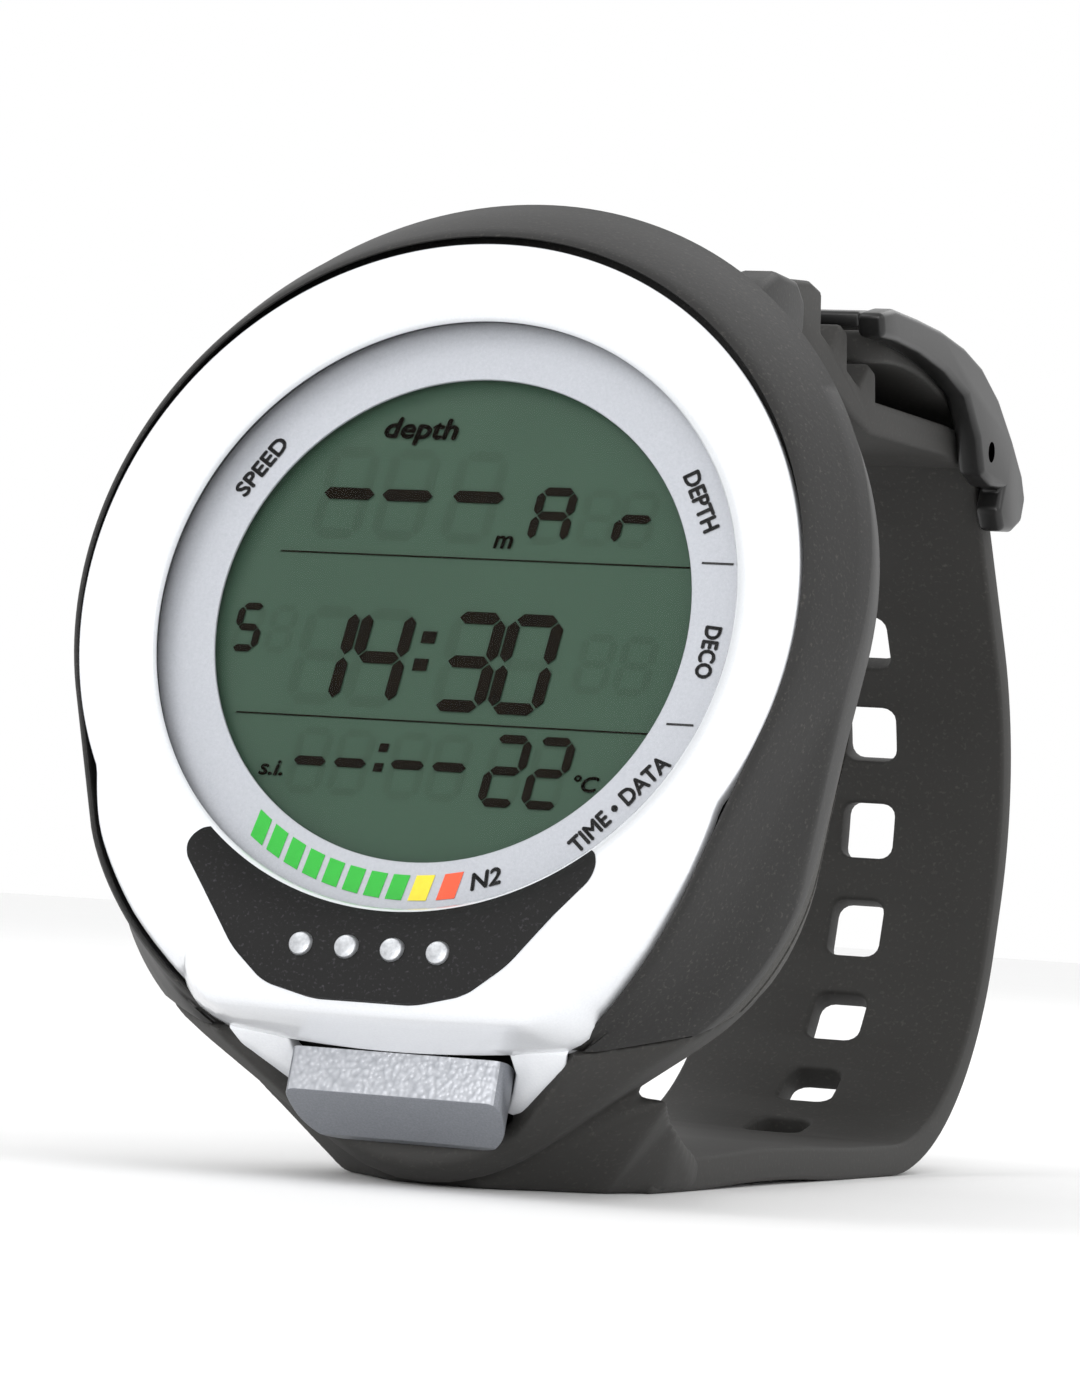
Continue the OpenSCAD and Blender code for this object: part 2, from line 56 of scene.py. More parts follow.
cap_joint = next(j for j in frame["joints"] if j["name"] == "battery_cap_turn")
face_out = Vector(cap_joint["axis"]).normalized()
face_at = Vector(cap_joint["pos_m"]) + face_out * 0.018
face_up = face_out.cross(Vector((1, 0, 0)))
turned = Matrix(((1, 0, 0), face_up, face_out)).transposed().to_4x4()
WATCH = Matrix.Translation(face_at) @ turned @ Matrix.Scale(0.001, 4)


def colour(code):
    """An sRGB hex colour as the linear colour that Blender mixes in."""
    parts = [int(code[i:i + 2], 16) / 255 for i in (1, 3, 5)]
    return [c / 12.92 if c <= 0.04045 else ((c + 0.055) / 1.055) ** 2.4 for c in parts] + [1]


def add(material, kind, inputs=(), **settings):
    """Adds a node with its settings; an input is given a value, or the output that feeds it."""
    node = material.node_tree.nodes.new("ShaderNode" + kind)
    for name, value in settings.items():
        setattr(node, name, value)
    for name, value in dict(inputs).items():
        if isinstance(value, bpy.types.NodeSocket):
            material.node_tree.links.new(value, node.inputs[name])
        else:
            node.inputs[name].default_value = value
    return node


def finish(name, **sockets):
    """A new material with its surface shader, and the shader itself."""
    material = bpy.data.materials.new(name)
    material.use_nodes = True
    shader = material.node_tree.nodes["Principled BSDF"]
    for socket, value in sockets.items():
        shader.inputs[socket.replace("_", " ")].default_value = value
    return material, shader


# Matt photographic paper: a faint tone, and no gloss to mirror the watch in.
floor_paper, shader = finish("matt_white_paper", Roughness=0.7)
spot = add(floor_paper, "TexCoord").outputs["Object"]
tone = add(floor_paper, "TexNoise", {"Vector": spot, "Scale": 30})
mix = add(floor_paper, "Mix", {"Factor": tone.outputs["Fac"], "A": colour("#f4f4f4"), "B": colour("#f7f7f7")},
          data_type="RGBA")
floor_paper.node_tree.links.new(mix.outputs["Result"], shader.inputs["Base Color"])
paper = bmesh.new()
bmesh.ops.create_circle(paper, cap_ends=True, segments=64, radius=3)
floor_mesh = bpy.data.meshes.new("floor")
paper.to_mesh(floor_mesh)
floor = bpy.data.objects.new("floor", floor_mesh)
floor.data.materials.append(floor_paper)
bpy.context.scene.collection.objects.link(floor)

world = bpy.data.worlds.new("studio")
bpy.context.scene.world = world
world.use_nodes = True
world.node_tree.nodes["Background"].inputs["Color"].default_value = colour("#ffffff")
world.node_tree.nodes["Background"].inputs["Strength"].default_value = 1
bpy.context.scene.view_settings.view_transform = "Standard"

LAMPS = (("key", (-0.5, -0.55, 0.8), 0.4, 1.4), ("side", (0.9, -0.1, 0.5), 0.5, 1.2), ("back", (0.1, 0.9, 0.7), 0.6, 1.5),
         ("front", (0.1, -0.9, 0.15), 0.5, 4))
for name, at, size, power in LAMPS:
    lamp = bpy.data.objects.new(name, bpy.data.lights.new(name, "AREA"))
    lamp.data.size = size
    lamp.data.energy = power
    lamp.location = at
    lamp.rotation_euler = (Vector((0, 0, 0.05)) - Vector(at)).to_track_quat("-Z", "Y").to_euler()
    bpy.context.scene.collection.objects.link(lamp)

eye = WATCH @ Vector((179.83, -130.87, 404.90))
ahead = (WATCH.to_3x3() @ Vector((-0.3738, 0.2737, -0.8862))).normalized()
above = (WATCH.to_3x3() @ Vector((-0.0477, 0.9485, 0.3131))).normalized()
camera = bpy.data.objects.new("camera", bpy.data.cameras.new("camera"))
camera.data.lens = 146.45
camera.data.sensor_width = 36
camera.data.clip_start = 0.01
camera.matrix_world = Matrix.Translation(eye) @ Matrix((ahead.cross(above), above, -ahead)).transposed().to_4x4()
bpy.context.scene.collection.objects.link(camera)
bpy.context.scene.camera = camera


# ---- case body ----
# The case is one moulding of glass-filled nylon in matt black, with a fine spark-eroded grain.
# It is round at 12 o'clock and runs down to a narrower chin, and a thin rounded lip stands
# round the white bezel. Its lower edge is cut off at a slant, where the rubber strap takes over.

LEVELS = (  # height, then circles as x, y and radius: the body, a shoulder and the chin
    (4.2, (0, 0.4, 32.2), (2.5, -12.5, 25.9), (0, -18.8, 16)),
    (0, (0, 2.4, 33.4), (2.8, -12.5, 26.1), (0, -18.4, 17)),
    (-4, (0, 4, 34.4), (3.2, -12.5, 26.3), (0, -18.4, 18)),
    (-9, (0, 4, 33.6), (7.4, -14, 23.9), (0, -27.8, 15)),
    (-11, (0, 3.8, 32.6), (7.8, -14, 23.2), (0, -28.6, 15)),
    (-14.5, (0, 3.5, 31.1), (8, -14, 22), (0, -29.4, 15)),
    (-21.5, (0, 3, 27.9), (8, -14, 19.4), (0, -26.4, 14)),
)


def stretched(level, turn):
    """Where a band stretched round a level's circles lies in one direction."""
    out = Vector((math.cos(turn), math.sin(turn)))
    body, shoulder, chin = level[1:]
    circles = (body, shoulder, (-shoulder[0], *shoulder[1:]), chin)
    return max((Vector(c[:2]) + out * c[2] for c in circles), key=out.dot)


def outline(z, turn, inset=0):
    """A point on the case's outside at a height, moved in by an inset."""
    pairs = list(zip(LEVELS, LEVELS[1:]))
    high, low = next((p for p in pairs if z >= p[1][0]), pairs[-1])
    share = min(1, (high[0] - z) / (high[0] - low[0]))
    spot = stretched(high, turn).lerp(stretched(low, turn), max(0, share))
    return spot - inset * Vector((math.cos(turn), math.sin(turn)))


def edge_drop(x, y):
    """How far the bezel's outer edge lies below its top: it falls away beside the chin."""
    from_side = -math.degrees(math.atan2(y, abs(x)))
    share = min(1, max(0, (from_side - 36) / 30.7))
    return 8.25 * share ** 1.7


def lofted(rows, count, place, closed=True):
    """A skin drawn through rows: each is extruded from the last, and place() says where it goes."""
    bm = bmesh.new()
    turn = bm.verts.layers.float.new("turn")
    for v in bmesh.ops.create_circle(bm, segments=count, radius=1)["verts"]:
        v[turn] = math.atan2(v.co.y, v.co.x)
        v.co = place(rows[0], v[turn])
    first = edges = bm.edges[:]
    for row in rows[1:]:
        made = bmesh.ops.extrude_edge_only(bm, edges=edges)["geom"]
        edges = [g for g in made if isinstance(g, bmesh.types.BMEdge)]
        for v in made:
            if isinstance(v, bmesh.types.BMVert):
                v.co = place(row, v[turn])
    if closed:
        bmesh.ops.bridge_loops(bm, edges=first + edges)
    bmesh.ops.recalc_face_normals(bm, faces=bm.faces)
    return bm


def cut_off(bm, at, normal, soften=0, segments=2):
    """Cuts away what lies beyond a plane, closes the cut and softens its edge."""
    cut = bmesh.ops.bisect_plane(bm, geom=bm.verts[:] + bm.edges[:] + bm.faces[:], dist=0.001,
                                 plane_co=at, plane_no=normal, clear_outer=True)["geom_cut"]
    rim = [g for g in cut if isinstance(g, bmesh.types.BMEdge)]
    bmesh.ops.edgeloop_fill(bm, edges=rim)
    if soften:
        bmesh.ops.bevel(bm, geom=rim, offset=soften, segments=segments, profile=0.5, affect="EDGES",
                        clamp_overlap=True, material=-1)


def rounded(bm, size, edges=None, segments=3):
    """Rounds the edges of a mesh that are sharper than a soft curve."""
    sharp = edges or [e for e in bm.edges if len(e.link_faces) == 2 and e.calc_face_angle(0) > 0.5]
    bmesh.ops.bevel(bm, geom=sharp, offset=size, segments=segments, profile=0.5, affect="EDGES",
                    clamp_overlap=True, material=-1)


def piece(name, bm, body, slot, *materials, replaces=(), smooth=35):
    """Puts a mesh drawn in the watch's own millimetres into its place, as a finished piece."""
    mesh = bpy.data.meshes.new(name)
    bm.to_mesh(mesh)
    bm.free()
    mesh.transform(WATCH)
    obj = bpy.data.objects.new(name, mesh)
    bpy.context.scene.collection.objects.link(obj)
    for material in materials:
        mesh.materials.append(material)
    mesh.shade_smooth()
    mesh.set_sharp_from_angle(angle=math.radians(smooth))
    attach(obj, body)
    if replaces:
        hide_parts(*replaces)
    return obj


def grained(name, dark, light, grain_mm, share, rough, depth_mm, **sockets):
    """A moulded surface with light specks and a fine bump, both of a real size."""
    material, shader = finish(name, Roughness=rough, **sockets)
    spot = add(material, "TexCoord").outputs["Object"]
    specks = add(material, "TexNoise", {"Vector": spot, "Scale": 1000 / grain_mm, "Detail": 2})
    picked = add(material, "MapRange", {"Value": specks.outputs["Fac"], "From Min": 1 - share - 0.12,
                                        "From Max": 1 - share + 0.12})
    wide = add(material, "TexNoise", {"Vector": spot, "Scale": 90, "Detail": 3})
    cloud = add(material, "Mix", {"Factor": wide.outputs["Fac"], "A": colour(dark[0]), "B": colour(dark[1])},
                data_type="RGBA")
    mix = add(material, "Mix", {"Factor": picked.outputs["Result"], "A": cloud.outputs["Result"],
                                "B": colour(light)}, data_type="RGBA")
    material.node_tree.links.new(mix.outputs["Result"], shader.inputs["Base Color"])
    skin = add(material, "TexNoise", {"Vector": spot, "Scale": 700 / grain_mm, "Detail": 3})
    bump = add(material, "Bump", {"Height": skin.outputs["Fac"], "Distance": depth_mm / 1000, "Strength": 0.6})
    material.node_tree.links.new(bump.outputs["Normal"], shader.inputs["Normal"])
    return material


# Matt black glass-filled nylon: the fibres at the skin show as light specks. The grain is 0.15 mm
# on the real one, drawn at 0.3 mm so that it shows.
nylon = grained("matt_black_nylon", ("#0e0d0c", "#141312"), "#3d3b37", 0.3, 0.3, 0.55, 0.02)
# The same nylon where the mould's edge left it rougher and paler, below the widest line.
nylon_edge = grained("rough_nylon_edge", ("#23221f", "#2a2926"), "#4a4742", 0.3, 0.4, 0.7, 0.05)

CASE_ROWS = (  # height, inset from the outside, and how much of the bezel's fall the row follows
    (-14.45, 0, 0), (-11.15, 0, 0), (-10.85, 0, 0), (-10.4, 0, 0), (-9, 0, 0), (-6.5, 0, 0), (-4, -0.03, 0),
    (-2, 0, 0.25), (0, 0, 0.5), (1.8, 0, 0.8), (3.2, 0.02, 1), (3.8, 0.1, 1), (4.12, 0.26, 1), (4.2, 0.42, 1),
    (4.05, 0.58, 1), (3.5, 0.66, 1), (2.6, 0.68, 1), (1, 0.72, 0.8),
)


def case_place(row, turn):
    if len(row) == 2:
        return Vector((row[0] * math.cos(turn), row[0] * math.sin(turn), row[1]))
    z, inset, follow = row
    spot = outline(z, turn, inset)
    if abs(spot.x) < 15.3:
        spot.y = max(spot.y, -35.3)
    z -= follow * edge_drop(*spot)
    return Vector((*spot, z))


case = lofted(CASE_ROWS + ((26.6, 0.9), (26.5, -0.35), (23.6, -0.35), (23.6, -14.45)), 192, case_place)
seam_at = Vector((0, -34.6, -4))
seam_out = Vector((0, -math.cos(math.radians(32.3)), -math.sin(math.radians(32.3))))
cut_off(case, seam_at, seam_out, 0.2)
for face in case.faces:
    face.material_index = int(face.calc_center_median().z < -11)
piece("case_shell", case, "watch", "case", nylon, nylon_edge, replaces=("case_body",))

LUG = ((29, -10), (34, -11), (37.4, -15.4), (38.6, -20.4), (37.6, -23), (35, -23.8), (31.6, -22), (29.5, -14.5))


def plate(points, low, high, round_mm, axis="x", segments=3, extra=None):
    """A flat outline pushed out to a thickness, with its edges rounded. Points are y, z for axis x."""
    bm = extra or bmesh.new()
    spots = {"x": lambda a, b: (low, a, b), "y": lambda a, b: (a, low, b), "z": lambda a, b: (a, b, low)}[axis]
    face = bm.faces.new([bm.verts.new(spots(*p)) for p in points])
    made = bmesh.ops.extrude_face_region(bm, geom=[face])["geom"]
    far = [g for g in made if isinstance(g, bmesh.types.BMVert)]
    push = {"x": (high - low, 0, 0), "y": (0, high - low, 0), "z": (0, 0, high - low)}[axis]
    bmesh.ops.translate(bm, verts=far, vec=push)
    bmesh.ops.recalc_face_normals(bm, faces=bm.faces)
    if round_mm:
        rounded(bm, round_mm, segments=segments)
    return bm


for side, name in ((-1, "left"), (1, "right")):
    piece("lug_" + name, plate(LUG, side * 16.1 - 1.9, side * 16.1 + 1.9, 0.7), "watch", "case", nylon)

# The skirt of the back cover carries the same rough edge on down to the back.
skirt_rows = ((-14.55, -0.02, 0), (-14.7, -0.12, 0), (-18, -0.12, 0), (-21.1, 0, 0), (-21.5, 0.3, 0), (-21.55, 0.8, 0),
              (-21.45, 1.6, 0), (-14.6, 1.6, 0))
skirt = lofted(skirt_rows, 192, case_place)
cut_off(skirt, seam_at, seam_out, 0.1)
piece("back_skirt", skirt, "watch", "back", nylon_edge)


# ---- white bezel ----
# A dished ring of ABS, painted pearl white and lacquered, snapped into the case over the lens.
# At 6 o'clock it widens into a chin with a steep front wall and a prong on each side of the button.

BEZEL_SIDE = ((-30, 31.5), (-39.3, 33.5), (-50.5, 35.5), (-59.8, 36.8), (-66.6, 37.5))
FRONT_WALL = ((0.02, 32.9), (0.1, 34.35), (0.24, 34.75), (0.45, 35.05), (0.68, 35.35), (0.86, 35.6), (1.05, 35.85),
              (1.2, 35.6), (1.3, 33))


def bezel_place(row, turn):
    """Inner rows are round, as radius and height; outer rows are a share of the way out and down."""
    kind, a, b = row
    flat = Vector((math.cos(turn), math.sin(turn)))
    if kind == "round":
        return Vector((*(flat * a), b))
    from_side = math.degrees(math.atan2(flat.y, abs(flat.x)))
    reach = 31.5
    for (high, near), (low, far) in zip(BEZEL_SIDE, BEZEL_SIDE[1:]):
        if from_side < high:
            reach = near + (far - near) * min(1, (from_side - high) / (low - high))
    drop = edge_drop(*(flat * reach))
    out = 30.3 + (reach - 30.3) * a if kind == "out" else reach - a
    down = 4.5 - min(b, 1.05) * (0.45 + drop) - (kind == "foot") * (b - 1.05) * 8
    front = min(1, max(0, (-from_side - 61) / 7))
    if front:
        across_x = min(15, 35 * abs(flat.x))
        wall = dict(FRONT_WALL)[b] - 1.2 * (across_x / 15) ** 2 * min(1, b)
        out += (wall / max(0.2, -flat.y) - out) * front ** 0.7
        if abs(flat.x * out) < 10.3:
            down = max(down, -4.25)
    return Vector((*(flat * out), down))


bezel_rows = (("round", 25.9, 1.55), ("round", 25.55, 1.6), ("round", 25.5, 1.95), ("round", 25.7, 2.25),
              ("round", 26.4, 2.9), ("round", 27.2, 3.45), ("round", 28.1, 3.92), ("round", 29.2, 4.28),
              ("round", 30, 4.44), ("out", 0.2, 0.02), ("out", 0.42, 0.1), ("out", 0.62, 0.24), ("out", 0.8, 0.45),
              ("out", 0.92, 0.68), ("out", 0.98, 0.86), ("out", 1, 1.05), ("foot", 0.02, 1.2), ("foot", 3, 1.3))
bezel = lofted(bezel_rows, 256, bezel_place)

# Pearl lacquer over white ABS: very smooth, a clear coat, and mica flakes of 0.1 mm that barely show.
pearl, shader = finish("pearl_white_lacquer", Roughness=0.22, Coat_Weight=0.7, Coat_Roughness=0.06, IOR=1.5)
spot = add(pearl, "TexCoord").outputs["Object"]
flake = add(pearl, "TexNoise", {"Vector": spot, "Scale": 5000, "Detail": 1})
mix = add(pearl, "Mix", {"Factor": flake.outputs["Fac"], "A": colour("#dcdee2"), "B": colour("#e8eaed")},
          data_type="RGBA")
pearl.node_tree.links.new(mix.outputs["Result"], shader.inputs["Base Color"])
wave = add(pearl, "TexNoise", {"Vector": spot, "Scale": 260, "Detail": 1})
bump = add(pearl, "Bump", {"Height": wave.outputs["Fac"], "Distance": 0.00002, "Strength": 0.25})
pearl.node_tree.links.new(bump.outputs["Normal"], shader.inputs["Coat Normal"])
piece("bezel_ring", bezel, "watch", "bezel", pearl, replaces=("bezel",), smooth=50)

PRONG = ((15, -4), (14.4, -5.6), (13.2, -7.3), (11.5, -9), (9.6, -10.4), (8.4, -10.9), (7.7, -10.6), (8.9, -8.6),
         (9.75, -6.6), (9.75, -4))
prongs = bmesh.new()
for side in (1, -1):
    plate([(side * x, z) for x, z in PRONG], -33.6, -35.1, 0, axis="y", extra=prongs)
for v in prongs.verts:
    v.co.y += min(0, v.co.z + 4) * 0.56
front_edges = [e for e in prongs.edges if all(v.co.y - min(0, v.co.z + 4) * 0.56 < -34 for v in e.verts)]
rounded(prongs, 0.3, edges=front_edges)
piece("bezel_prongs", prongs, "watch", "bezel", pearl, smooth=50)


# ---- name plate ----
# A black grained ABS plate, glued into a recess of the bezel's chin between the display and the
# button. It carries four raised silver dots where a maker would put a name.

PLATE = ((16.6, -19.4), (17.8, -20.6), (17.9, -22.4), (14.8, -26.4), (12, -30.2), (8.8, -32.9), (4.4, -33.9))
DISH = ((25.5, 2), (26.4, 2.9), (27.2, 3.45), (28.1, 3.92), (29.2, 4.28), (30, 4.44), (30.4, 4.5), (40, 4.5))


def dish_at(radius):
    """The height of the bezel's dished face at a radius."""
    pairs = zip(DISH, DISH[1:])
    (r0, z0), (r1, z1) = next(p for p in pairs if radius <= p[1][0])
    return z0 + (z1 - z0) * max(0, (radius - r0) / (r1 - r0))


plate_bm = bmesh.new()
corners = [plate_bm.verts.new((x, y, 0)) for x, y in PLATE + tuple((-x, y) for x, y in reversed(PLATE))]
plate_bm.faces.new(corners)
bmesh.ops.bevel(plate_bm, geom=[v for v in corners if abs(v.co.x) < 17.5 or v.co.y < -19], offset=1.3, segments=6,
                profile=0.5, affect="VERTICES", clamp_overlap=True, material=-1)
inner = [e for e in plate_bm.edges if all(v.co.y > -19.9 and abs(v.co.x) < 16.7 for v in e.verts)]
bmesh.ops.subdivide_edges(plate_bm, edges=inner, cuts=60)
for v in plate_bm.verts:
    if v.co.xy.length < 25.9:
        v.co.xy = v.co.xy.normalized() * 25.9
for i in range(-17, 18):
    bmesh.ops.bisect_plane(plate_bm, geom=plate_bm.verts[:] + plate_bm.edges[:] + plate_bm.faces[:], dist=0.001,
                           plane_co=(i + 0.01, 0, 0), plane_no=(1, 0, 0))
for i in range(16):
    bmesh.ops.bisect_plane(plate_bm, geom=plate_bm.verts[:] + plate_bm.edges[:] + plate_bm.faces[:], dist=0.001,
                           plane_co=(0, -19.5 - i, 0), plane_no=(0, 1, 0))
made = bmesh.ops.extrude_face_region(plate_bm, geom=plate_bm.faces[:])["geom"]
for v in [g for g in made if isinstance(g, bmesh.types.BMVert)]:
    v.co.z = dish_at(v.co.xy.length) + 0.12
for v in plate_bm.verts:
    if v.co.z == 0:
        v.co.z = 1.9
bmesh.ops.recalc_face_normals(plate_bm, faces=plate_bm.faces)
rounded(plate_bm, 0.12, edges=[e for e in plate_bm.edges if e.calc_face_angle(0) > 0.9 and e.verts[0].co.z > 2
                               and e.verts[1].co.z > 2], segments=2)
# Matt black ABS from a sandblasted mould: the grain shows as fine pale dots, 0.2 mm apart.
plate_black = grained("matt_black_abs", ("#080808", "#0c0c0c"), "#3a383c", 0.28, 0.28, 0.65, 0.03, Specular_IOR_Level=0.3)
piece("name_plate_top", plate_bm, "watch", "plate", plate_black, replaces=("name_plate",))

dots = bmesh.new()
for x in (-6, -2, 2, 6):
    bmesh.ops.create_cone(dots, cap_ends=True, segments=32, radius1=1.1, radius2=0.9, depth=0.6,
                          matrix=Matrix.Translation((x, -29.6, 4.6)))
rounded(dots, 0.08, segments=2)
# Bright tin-like paint on the raised dots, a little worn.
dot_silver, shader = finish("silver_hot_foil", Metallic=0.8, Roughness=0.35)
spot = add(dot_silver, "TexCoord").outputs["Object"]
worn = add(dot_silver, "TexNoise", {"Vector": spot, "Scale": 3000, "Detail": 3})
mix = add(dot_silver, "Mix", {"Factor": worn.outputs["Fac"], "A": colour("#8f9296"), "B": colour("#d9dbde")},
          data_type="RGBA")
dot_silver.node_tree.links.new(mix.outputs["Result"], shader.inputs["Base Color"])
piece("name_plate_dots", dots, "watch", "plate", dot_silver)


# ---- dial ring and its print ----
# A polycarbonate film under the lens, sprayed silver from behind with a fine metal flake. Function
# words, two ticks and the ten bars of the nitrogen gauge are screen-printed on it.

film, shader = finish("silver_printed_film", Metallic=0.35, Roughness=0.42)
spot = add(film, "TexCoord").outputs["Object"]
flake = add(film, "TexNoise", {"Vector": spot, "Scale": 4200, "Detail": 2, "Roughness": 0.8})
mix = add(film, "Mix", {"Factor": flake.outputs["Fac"], "A": colour("#b0b3ba"), "B": colour("#c9ccd2")},
          data_type="RGBA")
film.node_tree.links.new(mix.outputs["Result"], shader.inputs["Base Color"])


def paint(node, *materials):
    """Gives a CAD node its finish, in the slots it already has."""
    mesh = frame["nodes"][node].data
    if not mesh.materials:
        mesh.materials.append(None)
    for i in range(len(mesh.materials)):
        mesh.materials[i] = materials[min(i, len(materials) - 1)]


ring_rows = ((26.3, -0.3), (26.4, -0.25), (26.4, -0.04), (26.35, 0), (23, 0), (21.06, 0), (21, -0.05), (21, -0.25),
             (21.05, -0.3))
ring = lofted(ring_rows, 160, case_place)
piece("dial_ring", ring, "watch", "dial", film, replaces=("mask_ring",))


def lettering(bm, word, middle, length, tall, turn=0, slant=0, high=0.06, bold=0.07):
    """Adds a word in the built-in face, fitted to a length and a height about its middle, and thickened."""
    curve = bpy.data.curves.new(word, "FONT")
    curve.body = word
    curve.extrude = 0.02
    curve.shear = slant
    curve.resolution_u = 3
    text = bpy.data.objects.new(word, curve)
    bpy.context.scene.collection.objects.link(text)
    mesh = bpy.data.meshes.new_from_object(text.evaluated_get(bpy.context.evaluated_depsgraph_get()))
    spots = [v.co for v in mesh.vertices]
    low = Vector([min(c[i] for c in spots) for i in range(3)])
    size = Vector([max(c[i] for c in spots) for i in range(3)]) - low
    mesh.transform(Matrix.Translation(-low - size / 2))
    mesh.transform(Matrix.Diagonal(((length - 2 * bold) / size.x, (tall - 2 * bold) / size.y, 0.04 / size.z, 1)))
    for x, y in ((0, 0), (bold, 0), (-bold, 0), (0, bold), (0, -bold)):
        copy = mesh.copy()
        copy.transform(Matrix.Translation((x, y, 0)))
        copy.transform(Matrix.Rotation(math.radians(turn), 4, "Z"))
        copy.transform(Matrix.Translation((*middle, high)))
        bm.from_mesh(copy)
        bpy.data.meshes.remove(copy)
    bpy.data.objects.remove(text)
    bpy.data.meshes.remove(mesh)


def around(radius, degrees):
    return radius * math.cos(math.radians(degrees)), radius * math.sin(math.radians(degrees))


words = bmesh.new()
for word, degrees, length, tall, spin, slant in (
        ("SPEED", 147, 5.9, 1.5, -90, 0), ("DEPTH", 28.2, 5.6, 1.5, -90, 0), ("DECO", 355.2, 4.5, 1.5, -90, 0),
        ("TIME • DATA", 319.3, 10.5, 1.5, 90, 0), ("N2", 287.8, 2.8, 1.5, 90, 0.25)):
    at = around(23.1, degrees)
    lettering(words, word, at, length, tall, degrees + spin, slant)
for degrees in (14.3, 337.7):
    near, far = around(22.0, degrees + 0.6), around(24.7, degrees - 0.6)
    plate(((near[0], near[1] - 0.09), (far[0], near[1] - 0.09), (far[0], near[1] + 0.09), (near[0], near[1] + 0.09)),
          0.03, 0.07, 0, axis="z", extra=words)
# Black screen ink, matt, slightly uneven where the mesh of the screen let it through.
ink, shader = finish("black_screen_ink", Roughness=0.55)
spot = add(ink, "TexCoord").outputs["Object"]
mesh_mark = add(ink, "TexNoise", {"Vector": spot, "Scale": 6000})
mix = add(ink, "Mix", {"Factor": mesh_mark.outputs["Fac"], "A": colour("#0d0d0e"), "B": colour("#1d1d1f")},
          data_type="RGBA")
ink.node_tree.links.new(mix.outputs["Result"], shader.inputs["Base Color"])
piece("dial_words", words, "watch", "dial", ink)

BAR_ANGLES = [233.4 + 5.15 * i for i in range(8)] + [274.9, 281.3]
bars = bmesh.new()
for i, degrees in enumerate(BAR_ANGLES):
    inner, outer = around(22.1, degrees), around(24.25, degrees)
    across_bar = Vector(around(0.72 if i < 8 else 0.8, degrees + 90))
    lean_in = Vector((-0.22 * (1 if i else 0.9), -1)) * 2.15
    corner = [Vector(inner) - across_bar, Vector(inner) + across_bar]
    far_side = [c + lean_in for c in corner]
    far_side = [c.normalized() * 24.25 for c in far_side]
    before = set(bars.faces)
    plate([tuple(c) for c in (corner[0], corner[1], far_side[1], far_side[0])], 0.03, 0.07, 0, axis="z", extra=bars)
    for face in set(bars.faces) - before:
        face.material_index = 0 if i < 8 else i - 7
bar_inks = []
for name, code in (("green_screen_ink", "#1ea62c"), ("yellow_screen_ink", "#dccb2c"), ("red_screen_ink", "#e2512c")):
    bar_ink, shader = finish(name, Roughness=0.45)
    spot = add(bar_ink, "TexCoord").outputs["Object"]
    thin = add(bar_ink, "TexNoise", {"Vector": spot, "Scale": 2500})
    paler = [min(1, c * 1.25 + 0.01) for c in colour(code)]
    mix = add(bar_ink, "Mix", {"Factor": thin.outputs["Fac"], "A": colour(code), "B": paler}, data_type="RGBA")
    bar_ink.node_tree.links.new(mix.outputs["Result"], shader.inputs["Base Color"])
    bar_inks.append(bar_ink)
piece("dial_bars", bars, "watch", "dial", *bar_inks)


# ---- display ----
# A custom segment LCD behind the ring: grey-green reflective glass with two printed lines, dark
# segments that stand a little above their shadows, and the unlit segments faintly visible.

LCD_Z = -1.3
lcd, shader = finish("reflective_lcd_glass", Roughness=0.3, Specular_IOR_Level=0.2)
spot = add(lcd, "TexCoord").outputs["Object"]
cloud = add(lcd, "TexNoise", {"Vector": spot, "Scale": 60, "Detail": 2})
mix = add(lcd, "Mix", {"Factor": cloud.outputs["Fac"], "A": colour("#364d3e"), "B": colour("#425a4a")},
          data_type="RGBA")
fine = add(lcd, "TexNoise", {"Vector": spot, "Scale": 5000})
grit = add(lcd, "Mix", {"Factor": fine.outputs["Fac"], "A": colour("#394f41"), "B": mix.outputs["Result"]},
           data_type="RGBA")
lcd.node_tree.links.new(grit.outputs["Result"], shader.inputs["Base Color"])
paint("lcd_glass", lcd)

BARS_OF = {"0": "abcdef", "1": "bc", "2": "abged", "3": "abgcd", "4": "fgbc", "5": "afgcd", "-": "g", "A": "abcefg",
           "r": "eg", "8": "abcdefg"}


def digit(bm, sign, left, foot, wide, tall, thick, high, slant=0.105):
    """Adds one seven-segment digit, leaning like italics. Each bar is a long hexagon."""
    w, h, t = wide - thick, tall - thick, thick
    x0, y0 = thick / 2, thick / 2
    ends = {"a": ((0, h), (w, h)), "b": ((w, h), (w, h / 2)), "c": ((w, h / 2), (w, 0)), "d": ((0, 0), (w, 0)),
            "e": ((0, h / 2), (0, 0)), "f": ((0, h), (0, h / 2)), "g": ((0, h / 2), (w, h / 2))}
    for name in BARS_OF[sign]:
        start, end = Vector(ends[name][0]), Vector(ends[name][1])
        along_bar = (end - start).normalized()
        side = Vector((-along_bar.y, along_bar.x)) * t / 2
        start, end = start + along_bar * t * 0.12, end - along_bar * t * 0.12
        shape = [start, start + along_bar * t / 2 + side, end - along_bar * t / 2 + side, end,
                 end - along_bar * t / 2 - side, start + along_bar * t / 2 - side]
        spots = []
        for p in shape:
            y = p.y + y0
            spots.append((left + p.x + x0 + slant * y, foot + y))
        plate(spots, high - 0.04, high, 0, axis="z", extra=bm)


def block(bm, x, y, wide, tall, high):
    plate(((x - wide / 2, y - tall / 2), (x + wide / 2, y - tall / 2), (x + wide / 2 + 0.1, y + tall / 2),
           (x - wide / 2 + 0.1, y + tall / 2)), high - 0.04, high, 0, axis="z", extra=bm)


